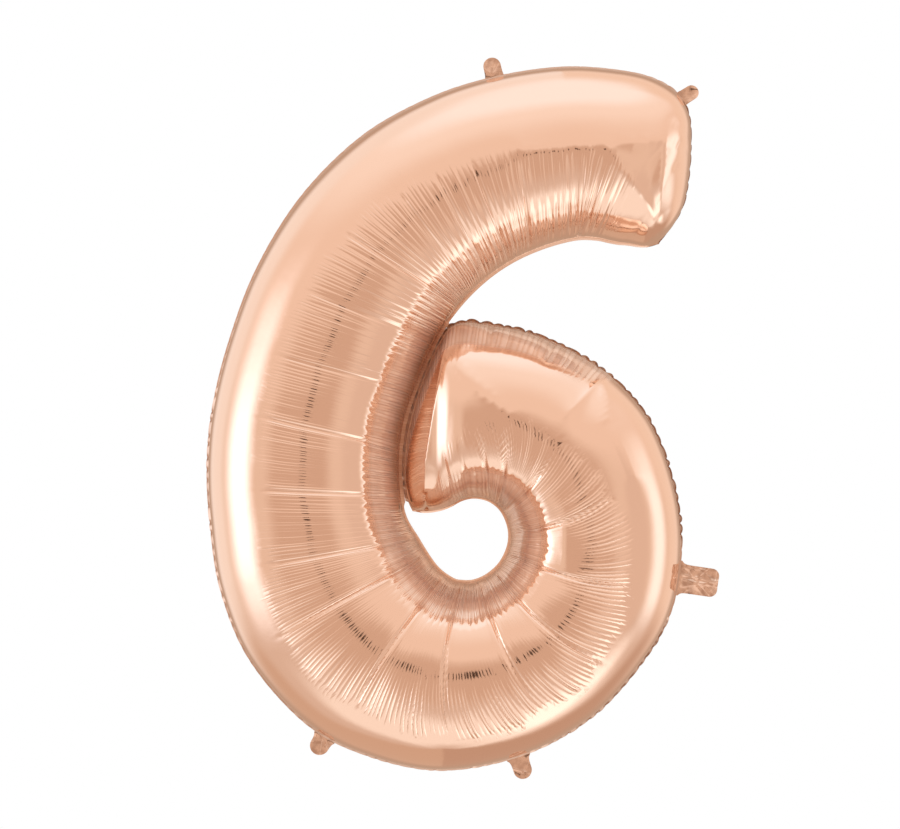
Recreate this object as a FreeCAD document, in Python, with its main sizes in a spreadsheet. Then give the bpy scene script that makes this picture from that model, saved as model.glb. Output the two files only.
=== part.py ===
"""Foil number balloon in the shape of a figure 6, as a FreeCAD document, in millimetres.

The balloon hangs in the XZ plane: +X to the right, +Z up, the front faces -Y, and the
heat-sealed seam lies in the plane Y = 0.  The origin is the root of the top hanging tab.
Two foil panels are sealed to each other all round their edge.  Four two-ply hanging tabs
and the two-ply inflation tail stand out from that edge and flex about their roots.  The
tail holds the films of the self-sealing valve, whose two flaps lie inside the balloon.
"""
import FreeCAD, Part
import math
import os

import Sketcher
from FreeCAD import Placement, Rotation, Vector

doc = FreeCAD.newDocument("foil_number_six")

# ---------------------------------------------------------------- driving dimensions

DIMENSIONS = {
    "foil_wall": 0.6,           # wall of a panel
    "seam_margin": 4.0,         # flat sealed margin round each panel
    "full_half_depth": 103.0,   # from the seam plane to the crown, where the balloon is fullest
    "flex_gap": 1.2,            # bare flex line between the panels' edge and a tab or the tail
    "ply_wall": 0.3,            # one ply of a tab or of the tail
    "top_tab_width": 21.0,
    "top_tab_reach": 22.0,
    "top_tab_lean": -9.0,       # leans, in degrees, from square to the edge
    "corner_tab_width": 17.5,
    "corner_tab_reach": 21.0,
    "corner_tab_lean": 2.0,
    "left_tab_width": 23.0,
    "left_tab_reach": 22.0,
    "left_tab_lean": 18.0,
    "bottom_tab_width": 22.0,
    "bottom_tab_reach": 26.0,
    "bottom_tab_lean": -2.0,
    "tail_width": 34.0,
    "tail_reach": 46.0,
    "tail_root_width": 46.0,
    "tail_root_flare": 6.0,
    "tail_corner": 9.0,
    "film_wall": 0.15,          # one film of the self-sealing valve
    "film_width": 24.0,
    "film_reach": 36.0,
    "flap_reach": 90.0,
    "flap_gap": 0.6,            # between the two inner flaps, so that they part freely
}

sheet = doc.addObject("Spreadsheet::Sheet", "dimensions")
for row, (alias, value) in enumerate(DIMENSIONS.items(), start=1):
    sheet.set(f"A{row}", alias)
    sheet.set(f"B{row}", str(value))
    sheet.setAlias(f"B{row}", alias)
doc.recompute()

# ---------------------------------------------------------------- the figure's stroke

# Stations along the stroke, from the underside of the arm's end, over the arm, down the
# spine, round the bowl and back to where the bowl closes against the spine.  Each row is
# outer edge x, z, inner edge x, z, and the depth there as a share of the full depth.
STATIONS = (
    (196, -200, 182, -204, 0.05),   # corner under the arm's end
    (227, -150, 173, -204, 0.44),
    (235, -66, 159, -202, 0.70),    # the end seam bows to the right
    (224, -26, 147, -201, 0.80),
    (196, -4, 136, -199, 0.87),     # rounded corner over the arm's end
    (150, 8, 121, -196, 0.92),
    (78, 12, 97, -196, 0.95),       # top of the arm
    (-6, -1, 62, -205, 0.96),
    (-83, -27, 25, -221, 0.97),
    (-161, -72, -9, -244, 0.98),
    (-232, -143, -41, -276, 1.00),
    (-285, -229, -68, -315, 1.00),
    (-318, -316, -91, -367, 1.00),  # spine, beside the slit
    (-337, -392, -108, -419, 1.00),
    (-344, -460, -112, -469, 1.00),
    (-341, -529, -107, -519, 1.00),
    (-328, -613, -90, -551, 1.00),
    (-293, -697, -69, -583, 1.00),
    (-226, -773, -50, -598, 1.00),
    (-154, -811, -37, -601, 0.99),
    (-64, -829, -24, -600, 0.98),   # foot of the bowl
    (34, -811, -9, -593, 0.97),
    (116, -766, 5, -580, 0.96),
    (177, -700, 14, -562, 0.95),
    (212, -637, 16, -545, 0.94),
    (224, -559, 12, -529, 0.94),    # right of the bowl, above the tail
    (214, -482, 4, -516, 0.94),
    (182, -403, -9, -507, 0.94),
    (126, -346, -25, -504, 0.93),
    (54, -308, -39, -507, 0.92),    # top of the bowl
    (-12, -293, -52, -514, 0.87),
    (-46, -293, -62, -518, 0.78),
    (-64, -312, -71, -520, 0.67),   # closed end of the bowl, beside the slit
    (-89, -368, -79, -521, 0.54),
    (-104, -420, -86, -521, 0.40),
    (-109, -469, -92, -520, 0.26),
    (-104, -506, -98, -519, 0.05),
)
SPAN_STEPS = 2          # sections lofted through in each span between two stations
CROWN_POINTS = 9        # points across a crown, from seam to seam
CROWN_SQUARENESS = 2.1  # 2 is an ellipse; a little more fills the shoulders
FLATTEST_MARGIN = 0.25  # a margin takes at most this share of a narrow section


def glide(before, start, end, after, share):
    """Catmull-Rom value between start and end, for one number."""
    return start + share * (end - before) / 2 + share ** 2 * (
        before - 2.5 * start + 2 * end - after / 2
    ) + share ** 3 * (after - before + 3 * (start - end)) / 2


def station_at(place):
    """The stroke's five station values at a place counted in spans from its start."""
    span = min(int(place), len(STATIONS) - 2)
    first = STATIONS[max(span - 1, 0)]
    last = STATIONS[min(span + 2, len(STATIONS) - 1)]
    rows = zip(first, STATIONS[span], STATIONS[span + 1], last)
    return [glide(*values, place - span) for values in rows]


def outer_edge(place):
    """Point on the outer edge at a place along the stroke."""
    x, z = station_at(place)[:2]
    return Vector(x, 0, z)


# ---------------------------------------------------------------- foil panels


def crown_profile(half_width, height):
    """Offsets and heights of a crown across the stroke, from seam to seam."""
    profile = []
    for step in range(CROWN_POINTS):
        angle = math.pi * (1 - step / (CROWN_POINTS - 1))
        across = math.cos(angle)
        rise = max(0.0, 1 - abs(across) ** CROWN_SQUARENESS) ** (1 / CROWN_SQUARENESS)
        profile.append((half_width * across, height * rise))
    return profile


def panel_section(station):
    """Closed outline of the front panel's foil at one station: margin, crown, margin."""
    outer_x, outer_z, inner_x, inner_z, fullness = station
    outer = Vector(outer_x, 0, outer_z)
    inner = Vector(inner_x, 0, inner_z)
    width = outer.distanceToPoint(inner)
    along = (inner - outer) / width
    middle = (outer + inner) / 2
    wall = sheet.foil_wall
    half_crown = width / 2 - min(sheet.seam_margin, width * FLATTEST_MARGIN)
    height = sheet.full_half_depth * fullness - wall

    def place(across, depth):
        return middle + along * across - Vector(0, depth, 0)

    def arc(profile):
        curve = Part.BSplineCurve()
        curve.interpolate(profile)
        return curve.toShape()

    outside = [place(a, wall + h) for a, h in crown_profile(half_crown, height)]
    inside = [place(a, h) for a, h in reversed(crown_profile(half_crown - wall, height))]
    outer_back = place(-width / 2, 0)
    outer_face = place(-width / 2, wall)
    inner_face = place(width / 2, wall)
    inner_back = place(width / 2, 0)
    return Part.Wire([
        Part.makeLine(outer_back, outer_face),
        Part.makeLine(outer_face, outside[0]),
        arc(outside),
        Part.makeLine(outside[-1], inner_face),
        Part.makeLine(inner_face, inner_back),
        Part.makeLine(inner_back, inside[0]),
        arc(inside),
        Part.makeLine(inside[-1], outer_back),
    ])


def make_panels():
    """The front panel, lofted along the stroke, and the back panel, its mirror image."""
    steps = SPAN_STEPS * (len(STATIONS) - 1)
    sections = [panel_section(station_at(step / SPAN_STEPS)) for step in range(steps + 1)]
    front = doc.addObject("Part::Feature", "front_foil_panel")
    front.Shape = Part.makeLoft(sections, True, False)
    back = doc.addObject("Part::Feature", "back_foil_panel")
    back.Shape = front.Shape.mirror(Vector(0, 0, 0), Vector(0, 1, 0))
    return [front, back]


# ---------------------------------------------------------------- plies, films and flaps


def root_placement(place, depth=0.0, inset=0.0, lean=0.0):
    """Placement at the flex line outside the outer edge at a place along the stroke.

    The local x runs along the edge, y points out of the figure and z points to the front.
    The placement is moved by depth to the front and by inset into the figure, and it is
    turned by lean degrees, counter-clockwise as seen from the front.
    """
    nudge = 0.01
    tangent = (outer_edge(place + nudge) - outer_edge(place - nudge)).normalize()
    front = Vector(0, -1, 0)
    outward = tangent.cross(front)
    root = outer_edge(place) + outward * (sheet.flex_gap / 2 - inset) + front * depth
    turn = Rotation(front, lean) * Rotation(front.cross(outward) * -1, outward, front, "ZYX")
    return Placement(root, turn)


def new_body(name):
    """A body with a sketch attached to its own XY plane."""
    body = doc.addObject("PartDesign::Body", name)
    sketch = body.newObject("Sketcher::SketchObject", name + "_outline")
    plane = next(f for f in body.Origin.OriginFeatures if f.Role == "XY_Plane")
    sketch.AttachmentSupport = [(plane, "")]
    sketch.MapMode = "FlatFace"
    return body, sketch


def bind(sketch, constraint, formula):
    """Add a dimension to a sketch and bind it to the sheet's cells."""
    index = sketch.addConstraint(constraint)
    sketch.setExpression(f"Constraints[{index}]", formula)


def pad_outline(body, sketch, wall):
    """Pad a sketch to the front by the thickness that the named cell holds."""
    pad = body.newObject("PartDesign::Pad", body.Name + "_foil")
    pad.Profile = sketch
    pad.setExpression("Length", f"dimensions.{wall}")
    return pad


def closed_loop(sketch, corners):
    """Draw straight sides through the corners and join them end to end."""
    sides = [
        sketch.addGeometry(Part.LineSegment(start, end))
        for start, end in zip(corners, corners[1:] + corners[:1])
    ]
    for side, following in zip(sides, sides[1:] + sides[:1]):
        sketch.addConstraint(Sketcher.Constraint("Coincident", side, 2, following, 1))
    return sides


def make_tab_ply(name, tab, placement):
    """One ply of a hanging tab: a tongue with a round tip, cut at its root along the edge."""
    half = sheet.get(tab + "_width") / 2
    skew = half * math.tan(math.radians(sheet.get(tab + "_lean")))
    root = sheet.flex_gap / 2
    shoulder = sheet.get(tab + "_reach") - half
    body, sketch = new_body(name)
    root_left, root_right = Vector(-half, root + skew, 0), Vector(half, root - skew, 0)
    tip_left, tip_right = Vector(-half, shoulder, 0), Vector(half, shoulder, 0)
    bottom = sketch.addGeometry(Part.LineSegment(root_left, root_right))
    right = sketch.addGeometry(Part.LineSegment(root_right, tip_right))
    circle = Part.Circle(Vector(0, shoulder, 0), Vector(0, 0, 1), half)
    tip = sketch.addGeometry(Part.ArcOfCircle(circle, 0, math.pi))
    left = sketch.addGeometry(Part.LineSegment(tip_left, root_left))
    sketch.addConstraint([
        Sketcher.Constraint("Coincident", bottom, 2, right, 1),
        Sketcher.Constraint("Tangent", right, 2, tip, 1),
        Sketcher.Constraint("Tangent", tip, 2, left, 1),
        Sketcher.Constraint("Coincident", left, 2, bottom, 1),
        Sketcher.Constraint("Vertical", right),
        Sketcher.Constraint("PointOnObject", tip, 3, -2),
    ])
    skewed = f"dimensions.{tab}_width / 2 * tan(dimensions.{tab}_lean * 1 deg)"
    for number, end, height, sign in ((1, bottom, root + skew, "+"), (2, bottom, root - skew, "-")):
        bind(sketch, Sketcher.Constraint("DistanceY", -1, 1, end, number, height),
             f"dimensions.flex_gap / 2 {sign} {skewed}")
    bind(sketch, Sketcher.Constraint("DistanceX", bottom, 1, bottom, 2, 2 * half),
         f"dimensions.{tab}_width")
    bind(sketch, Sketcher.Constraint("DistanceY", -1, 1, tip, 3, shoulder),
         f"dimensions.{tab}_reach - dimensions.{tab}_width / 2")
    pad_outline(body, sketch, "ply_wall")
    body.Placement = placement
    return body


def make_tail_ply(name, placement):
    """One ply of the inflation tail: flared at its root, with rounded corners at its mouth."""
    root = sheet.flex_gap / 2
    neck = root + sheet.tail_root_flare
    half_root = sheet.tail_root_width / 2
    half = sheet.tail_width / 2
    reach = sheet.tail_reach
    body, sketch = new_body(name)
    outline = [(half_root, root), (half, neck), (half, reach)]
    outline += [(-x, y) for x, y in reversed(outline)]
    sides = closed_loop(sketch, [Vector(x, y, 0) for x, y in outline])
    right, mouth, left, base = sides[1], sides[2], sides[3], sides[5]
    sketch.addConstraint([
        Sketcher.Constraint("Vertical", right),
        Sketcher.Constraint("Vertical", left),
        Sketcher.Constraint("Symmetric", mouth, 1, mouth, 2, -2),
        Sketcher.Constraint("Symmetric", base, 1, base, 2, -2),
        Sketcher.Constraint("Horizontal", right, 1, left, 2),
    ])
    bind(sketch, Sketcher.Constraint("DistanceX", mouth, 2, mouth, 1, 2 * half),
         "dimensions.tail_width")
    bind(sketch, Sketcher.Constraint("DistanceX", base, 1, base, 2, 2 * half_root),
         "dimensions.tail_root_width")
    bind(sketch, Sketcher.Constraint("DistanceY", -1, 1, base, 1, root), "dimensions.flex_gap / 2")
    bind(sketch, Sketcher.Constraint("DistanceY", base, 2, right, 1, neck - root),
         "dimensions.tail_root_flare")
    bind(sketch, Sketcher.Constraint("DistanceY", -1, 1, mouth, 1, reach), "dimensions.tail_reach")
    pad = pad_outline(body, sketch, "ply_wall")
    doc.recompute()
    corners = [
        f"Edge{number}" for number, edge in enumerate(pad.Shape.Edges, start=1)
        if all(vertex.Y > reach - root for vertex in edge.Vertexes)
        and abs(edge.tangentAt(edge.FirstParameter).z) > abs(edge.tangentAt(edge.FirstParameter).x)
    ]
    rounding = body.newObject("PartDesign::Fillet", name + "_corners")
    rounding.Base = (pad, corners)
    rounding.setExpression("Radius", "dimensions.tail_corner")
    body.Placement = placement
    return body


def make_film(name, reach, direction, placement):
    """A straight strip of valve film, from the flex line along local y, out (1) or in (-1)."""
    half = sheet.film_width / 2
    root = sheet.flex_gap / 2
    length = sheet.get(reach)
    body, sketch = new_body(name)
    outline = [(half, root), (half, length), (-half, length), (-half, root)]
    sides = closed_loop(sketch, [Vector(x * direction, y * direction, 0) for x, y in outline])
    right, end, _, base = sides
    sketch.addConstraint([
        Sketcher.Constraint("Vertical", right),
        Sketcher.Constraint("Symmetric", end, 1, end, 2, -2),
        Sketcher.Constraint("Symmetric", base, 1, base, 2, -2),
    ])
    near, far = ((-1, 1, base, 1), (-1, 1, end, 1))
    if direction < 0:
        near, far = ((base, 1, -1, 1), (end, 1, -1, 1))
    wide = (base, 1, base, 2) if direction > 0 else (base, 2, base, 1)
    bind(sketch, Sketcher.Constraint("DistanceX", *wide, 2 * half), "dimensions.film_width")
    bind(sketch, Sketcher.Constraint("DistanceY", *near, root), "dimensions.flex_gap / 2")
    bind(sketch, Sketcher.Constraint("DistanceY", *far, length), f"dimensions.{reach}")
    pad_outline(body, sketch, "film_wall")
    body.Placement = placement
    return body


# Where the tabs and the tail stand, in spans from the start of the stroke.
TAB_PLACES = {
    "top_tab": 6.93,
    "corner_tab": 3.0,
    "left_tab": 18.33,
    "bottom_tab": 20.94,
}
TAIL_PLACE = 24.5

subparts = make_panels()
for tab, place in TAB_PLACES.items():
    lean = sheet.get(tab + "_lean")
    for side, ply_depth in (("front", 0.0), ("back", -sheet.ply_wall)):
        placement = root_placement(place, ply_depth, 0.0, lean)
        subparts.append(make_tab_ply(f"{tab}_{side}_ply", tab, placement))

film = sheet.film_wall
flap_inset = sheet.seam_margin + sheet.flex_gap
for side, ply_depth, film_depth, flap_depth in (
    ("front", film, 0.0, sheet.flap_gap / 2),
    ("back", -film - sheet.ply_wall, -film, -sheet.flap_gap / 2 - film),
):
    inside = root_placement(TAIL_PLACE, flap_depth, flap_inset)
    subparts += [
        make_tail_ply(f"tail_{side}_ply", root_placement(TAIL_PLACE, ply_depth)),
        make_film(f"valve_{side}_film", "film_reach", 1, root_placement(TAIL_PLACE, film_depth)),
        make_film(f"valve_{side}_flap", "flap_reach", -1, inside),
    ]

# ---------------------------------------------------------------- checks and output

doc.recompute()
for item in doc.Objects:
    if "Invalid" in item.State or "Error" in item.State:
        raise RuntimeError(f"{item.Name} failed to build: {item.State}")

os.makedirs("parts", exist_ok=True)
for piece in subparts:
    piece.Label = piece.Name
    if piece.Shape.isNull() or not piece.Shape.isValid() or piece.Shape.Volume <= 0:
        raise RuntimeError(f"{piece.Label} has no sound shape")
    piece.Shape.exportStep(f"parts/{piece.Label}.step")
    print(piece.Label, round(piece.Shape.Volume, 1), len(piece.Shape.Solids))

for name, place in {**TAB_PLACES, "tail": TAIL_PLACE}.items():
    flex = root_placement(place)
    print("flex line", name, flex.Base, "along", flex.Rotation.multVec(Vector(1, 0, 0)),
          "out", flex.Rotation.multVec(Vector(0, 1, 0)))
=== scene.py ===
"""Rose-gold foil number balloon: the looks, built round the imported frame, in metres.

The figure hangs in the XZ plane, the front faces -Y and the sealed seam lies at Y = 0.
Each foil panel is a fine grid laid over the figure's stroke, then gathered into pleats.
"""
import math

import bmesh
import bpy
import numpy as np
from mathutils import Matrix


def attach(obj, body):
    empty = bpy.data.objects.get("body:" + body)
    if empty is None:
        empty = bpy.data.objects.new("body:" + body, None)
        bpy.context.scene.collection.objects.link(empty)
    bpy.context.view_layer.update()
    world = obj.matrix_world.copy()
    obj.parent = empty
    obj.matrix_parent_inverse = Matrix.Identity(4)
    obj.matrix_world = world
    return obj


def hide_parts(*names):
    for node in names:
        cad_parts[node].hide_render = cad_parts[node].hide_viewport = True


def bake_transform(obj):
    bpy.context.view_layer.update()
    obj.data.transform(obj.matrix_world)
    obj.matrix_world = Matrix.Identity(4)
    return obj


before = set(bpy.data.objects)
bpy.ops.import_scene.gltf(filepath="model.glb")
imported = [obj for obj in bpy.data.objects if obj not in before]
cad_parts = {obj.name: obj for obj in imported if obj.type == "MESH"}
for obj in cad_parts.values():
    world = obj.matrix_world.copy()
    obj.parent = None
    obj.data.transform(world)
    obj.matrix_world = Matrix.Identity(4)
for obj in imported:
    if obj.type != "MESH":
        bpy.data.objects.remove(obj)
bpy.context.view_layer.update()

MM = 0.001

# ---------------------------------------------------------------- the figure's stroke

# Stations along the stroke, in mm, as in the CAD model: outer edge x, z, inner edge x, z,
# and the depth there as a share of the full depth.
STATIONS = np.array((
    (196, -200, 182, -204, 0.05),   # corner under the arm's end
    (227, -150, 173, -204, 0.44),
    (235, -66, 159, -202, 0.70),    # the end seam bows to the right
    (224, -26, 147, -201, 0.80),
    (196, -4, 136, -199, 0.87),     # rounded corner over the arm's end
    (150, 8, 121, -196, 0.92),
    (78, 12, 97, -196, 0.95),       # top of the arm
    (-6, -1, 62, -205, 0.96),
    (-83, -27, 25, -221, 0.97),
    (-161, -72, -9, -244, 0.98),
    (-232, -143, -41, -276, 1.00),
    (-285, -229, -68, -315, 1.00),
    (-318, -316, -91, -367, 1.00),  # spine, beside the slit
    (-337, -392, -108, -419, 1.00),
    (-344, -460, -112, -469, 1.00),
    (-341, -529, -107, -519, 1.00),
    (-328, -613, -90, -551, 1.00),
    (-293, -697, -69, -583, 1.00),
    (-226, -773, -50, -598, 1.00),
    (-154, -811, -37, -601, 0.99),
    (-64, -829, -24, -600, 0.98),   # foot of the bowl
    (34, -811, -9, -593, 0.97),
    (116, -766, 5, -580, 0.96),
    (177, -700, 14, -562, 0.95),
    (212, -637, 16, -545, 0.94),
    (224, -559, 12, -529, 0.94),    # right of the bowl, above the tail
    (214, -482, 4, -516, 0.94),
    (182, -403, -9, -507, 0.94),
    (126, -346, -25, -504, 0.93),
    (54, -308, -39, -507, 0.92),    # top of the bowl
    (-12, -293, -52, -514, 0.87),
    (-46, -293, -62, -518, 0.78),
    (-64, -312, -71, -520, 0.67),   # closed end of the bowl, beside the slit
    (-89, -368, -79, -521, 0.54),
    (-104, -420, -86, -521, 0.40),
    (-109, -469, -92, -520, 0.26),
    (-104, -506, -98, -519, 0.05),
), float)
SEAM_MARGIN = 2.7       # mm, width of the sealed margin
SEAM_HALF_GAP = 0.4     # mm from the middle of the seam to each panel's edge
MARGIN_LIFT = 1.1       # mm that the foil has risen where the margin ends
MARGIN_BEND = 0.25      # share of the margin over which it turns up into the crown
MARGIN_RISE = 0.85      # share of that lift that it has at the start of the bend
FULL_HALF_DEPTH = 103.0     # mm
CROWN_SQUARENESS = 2.1      # power of the crown's section: 2 is an ellipse, more is squarer
LAST = len(STATIONS) - 1


def along_stroke(places, values):
    """Catmull-Rom values at places counted in spans; values holds one row per station."""
    span = np.clip(places.astype(int), 0, LAST - 1)
    share = (places - span)[:, None]
    before, start = values[np.maximum(span - 1, 0)], values[span]
    end, after = values[span + 1], values[np.minimum(span + 2, LAST)]
    return start + share * (end - before) / 2 + share ** 2 * (
        before - 2.5 * start + 2 * end - after / 2
    ) + share ** 3 * (after - before + 3 * (start - end)) / 2


# ---------------------------------------------------------------- pleats in the foil

# Outer end of the pleats across the stroke, as a share of the crown's arc from the outer
# seam: pairs of place along the stroke and share.
PLEAT_LIMIT = (
    (0, 0.62), (3, 0.60), (4.2, 0.56), (5, 0.53), (6, 0.50), (7, 0.48), (8, 0.45), (9, 0.42),
    (10, 0.38), (11, 0.36), (12.8, 0.34), (14.3, 0.36), (15.7, 0.34), (17, 0.29), (18.4, 0.31),
    (20, 0.285), (22, 0.28), (23.4, 0.33), (24.4, 0.35), (25.2, 0.37), (26, 0.41), (27, 0.47),
    (28, 0.49), (29, 0.50), (30, 0.54), (31, 0.60), (36, 0.70),
)
# Deep pleats: place along the stroke at the outer end and at the inner seam, and strength.
DEEP_PLEATS = np.array((
    (3.3, 3.6, 0.0), (4.20, 4.65, 0.5), (5.16, 5.65, 1.0), (5.93, 6.05, 0.7), (6.99, 7.40, 1.0),
    (7.86, 8.10, 0.6), (8.51, 8.85, 1.0), (9.16, 9.45, 0.9), (10.10, 10.05, 1.0),
    (11.05, 11.1, 0.35), (12.05, 12.2, 0.4), (13.09, 13.45, 1.0), (14.46, 14.56, 1.0),
    (15.75, 15.88, 1.0), (16.87, 16.55, 1.2), (18.39, 17.65, 1.3), (20.05, 19.10, 1.2),
    (21.52, 20.60, 1.3), (22.64, 21.68, 1.3), (24.20, 23.00, 1.3), (25.99, 24.50, 1.3),
    (27.57, 26.15, 1.2), (29.10, 27.05, 1.2), (29.82, 27.80, 1.1), (30.4, 29.0, 0.5),
    (31.42, 30.1, 0.6), (33.0, 32.0, 0.0), (36.0, 36.0, 0.0),
))
# Depth in mm that the gathered collar beside the inner seam sinks, by place along the stroke.
COLLAR_DEPTH = (
    (0, 0.0), (3.4, 0.0), (5, 1.6), (9, 2.4), (12, 3.0), (16, 3.2), (19, 3.8), (26, 3.8),
    (30, 3.2), (32, 0.0), (36, 0.0),
)
# Share across the crown by which the collar begins later, nearer to the inner seam.
COLLAR_LAG = ((0, 0.0), (5, 0.0), (9, 0.02), (12, 0.03), (15, 0.03), (17, 0.0), (36, 0.0))
COLLAR_STEP = 0.075     # share across the crown over which the foil steps down into the collar
COLLAR_FOOT = (0.86, 0.985)     # shares between which it comes up again
TOOTH_START = 0.685     # share across the crown where the coarse puckers begin
RING_START = 0.81       # share where they turn into the dense ring beside the inner seam
RING_TURN = (RING_START - 0.02, RING_START + 0.03)
RING_END = 0.945        # share where the foil lies smooth again
# Pitch in mm, by place along the stroke, of the long pleats and of the coarse puckers.
LONG_PITCH = ((0, 9.5), (8, 8.5), (12, 7.0), (36, 7.5))
TOOTH_PITCH = ((0, 8.5), (8, 8.0), (16, 8.0), (19, 6.6), (36, 6.2))
# Shares across the crown where the pitch of fine, long and coarse pleats is measured.
FINE_AT, LONG_AT, TOOTH_AT = 0.40, 0.55, 0.75
RING_DENSITY = 1.55     # pleats in the ring for each coarse pucker
RING_HEIGHT = 0.75      # their height as a share of the pucker's
# Pitch in mm of the fine pleats along their outer end, by place along the stroke.
FINE_PITCH = ((0, 6.5), (8, 6.0), (10, 4.4), (12, 3.8), (16, 3.8), (18, 4.6), (23, 5.0), (36, 4.6))
# Height in mm of the fine pleats near their outer end, by place along the stroke.
FINE_HEIGHT = (
    (0, 0.0), (3.4, 0.0), (4.6, 0.35), (8, 0.36), (11, 0.24), (15, 0.20), (17, 0.40),
    (18.5, 0.85), (21, 0.95), (24, 0.75), (26, 0.50), (27, 0.40), (28.5, 0.26), (30.5, 0.15),
    (32, 0.0), (36, 0.0),
)
# Height in mm of the long middle pleats, and of the coarse puckers near the inner seam.
LONG_HEIGHT = (
    (0, 0.0), (3.6, 0.0), (4.6, 1.0), (7.5, 1.0), (10, 0.6), (12, 0.18), (16, 0.10), (22, 0.05),
    (28, 0.06), (30, 0.05), (32, 0.0), (36, 0.0),
)
TOOTH_HEIGHT = (
    (0, 0.0), (3.4, 0.0), (4.4, 0.5), (8, 0.7), (12, 1.3), (16, 1.4), (19, 1.35), (26, 1.15),
    (30, 0.7), (32, 0.0), (36, 0.0),
)
COLLAR_PLEATS = 0.50    # mm, height of the fine pleats in the collar
END_PLEATS = 0.30       # mm, height of those along the seam of the closed end
PLEATED = ((3.4, 4.6), (31.0, 33.0))    # places where the pleats set in, and where they end
FAN_END = 0.84          # share across the crown where a deep pleat is at its inner place
FAN_RANGE = (-0.12, 1.25)       # how far its line runs on past both ends
CELL_BOW = 0.035        # share by which a cell between deep pleats bows outwards
CELL_BULGE = 2.1        # mm that the foil stands out between two deep pleats
LOBE_MEAN = 0.6         # taken off a row of lobes, so that it sinks as much as it rises
DEEP_DEPTH = 1.15       # mm
DEEP_WIDTH = 1.7        # mm
DEEP_SHOULDER = 0.28    # height of the swelling on both sides, as a share of the depth
BOWL_START = (15.5, 17)     # places where the stroke turns into the bowl
BOWL_DEEPER = 1.5       # what the bowl's deep pleats gain in depth, as a share
BOWL_SHARPER = 0.35     # and what they lose in width
# Height in mm of the ruffle in the sealed margin, by place along the stroke.
RUFFLE_HEIGHT = (
    (0, 2.6), (2.8, 2.6), (3.0, 0.2), (3.2, 1.0), (4.9, 0.3), (12.5, 0.25), (13.2, 1.0),
    (15.5, 0.8), (17, 0.3), (18.0, 0.3), (18.3, 0.1), (18.7, 0.5), (20.5, 0.7), (20.9, 0.1),
    (21.4, 1.0), (23.5, 1.5), (24.2, 0.2), (24.8, 0.2), (25.3, 2.4), (31, 2.4), (32.5, 0.5),
    (36, 0.5),
)
RUFFLE_PITCH = ((0, 17.0), (4, 15.0), (36, 13.5))     # mm, by place along the stroke
RUFFLE_SWING = 2.2      # mm that the margin swings to front and back, for each mm of ruffle
RUFFLE_REACH = 0.85     # mm that it reaches outwards, for each mm of ruffle
RUFFLE_INSET = 0.2      # mm that a flat margin draws in
RUFFLE_SEED = 3         # the same for both panels, so their margins stay together
FLATTEST_SEAL = 0.45    # how dull the seal looks where it isn't ruffled
DULLEST_RUFFLE = 1.6    # mm of ruffle at which the margin is fully darkened: the dull seal plus painted shade
SEAM_FREE = 8           # mm off the seam from where the foil can take a crease
SLIT_SPINE = (10.5, 18)     # places where the spine runs beside the slit
SLIT_END = 30.5         # place from where the closed end does
SLIT_GAP = (5.0, 9.0)   # mm: seams nearer than the first meet, wider than the second stay
GRID_ALONG = 1500
GRID_ACROSS = 66
CROWDING = 1.3          # how many more columns the grid has near the inner seam, as a share
OUTER_PULL = 0.62       # rows are evenly spread on a line this near to the outer edge


def smooth(low, high, value):
    """0 below low, 1 above high, and a smooth step between."""
    share = np.clip((value - low) / (high - low), 0, 1)
    return share * share * (3 - 2 * share)


def band(value, rise, fall):
    """0 outside, 1 inside, with a smooth step at the rise and at the fall."""
    return smooth(*rise, value) * (1 - smooth(*fall, value))


def at_place(table, places):
    """Value of a table of pairs at places along the stroke."""
    return np.interp(places, *np.array(table).T)


def arch(share, power=0.75):
    """One rounded lobe between two sharp valleys, from 0 up to 1, for a share from 0 to 1."""
    return np.abs(np.sin(math.pi * share)) ** power


def counted(count_at, places, jitter, rng):
    """Number of pleats up to each place, with uneven widths."""
    last = int(count_at[-1, 1]) + 2
    offset = rng.uniform(-jitter, jitter, last + 1)
    number = np.interp(places, *count_at.T)
    return number + np.interp(number, np.arange(last + 1), offset)


def count_table(places, length, pitch):
    """Running count of pleats against place, for a length in mm and a table of pitches."""
    steps = np.diff(length) / at_place(pitch, (places[1:] + places[:-1]) / 2)
    return np.column_stack((places, np.concatenate(([0], np.cumsum(steps)))))


def by_number(number, low, high, rng):
    """A random value for each whole pleat number, looked up for an array of numbers."""
    table = rng.uniform(low, high, int(number.max()) + 2)
    return table[np.maximum(number, 0).astype(int)]


def lobes(count, power, low, high, rng):
    """Uneven lobes, one to each whole number of the count, around zero."""
    return (arch(count % 1, power) - LOBE_MEAN) * by_number(count, low, high, rng)


def crown_columns():
    """Shares across the crown, closer together near the inner seam, where pleats are small."""
    fine = np.linspace(0, 1, 2001)
    density = 1 + CROWDING * band(fine, (0.60, 0.68), (0.97, 1.0))
    running = np.concatenate(([0], np.cumsum((density[1:] + density[:-1]) / 2)))
    return np.interp(np.linspace(0, running[-1], GRID_ACROSS - 3), running, fine)


def crown_places():
    """Places along the stroke, evenly spread for the pleated part of the crown."""
    fine = np.linspace(0, LAST, 7201)
    rows = along_stroke(fine, STATIONS)
    line = rows[:, :2] * OUTER_PULL + rows[:, 2:4] * (1 - OUTER_PULL)
    steps = np.linalg.norm(np.diff(line, axis=0), axis=1)
    length = np.concatenate(([0], np.cumsum(steps)))
    return np.interp(np.linspace(0, length[-1], GRID_ALONG + 1), length, fine)


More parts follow.
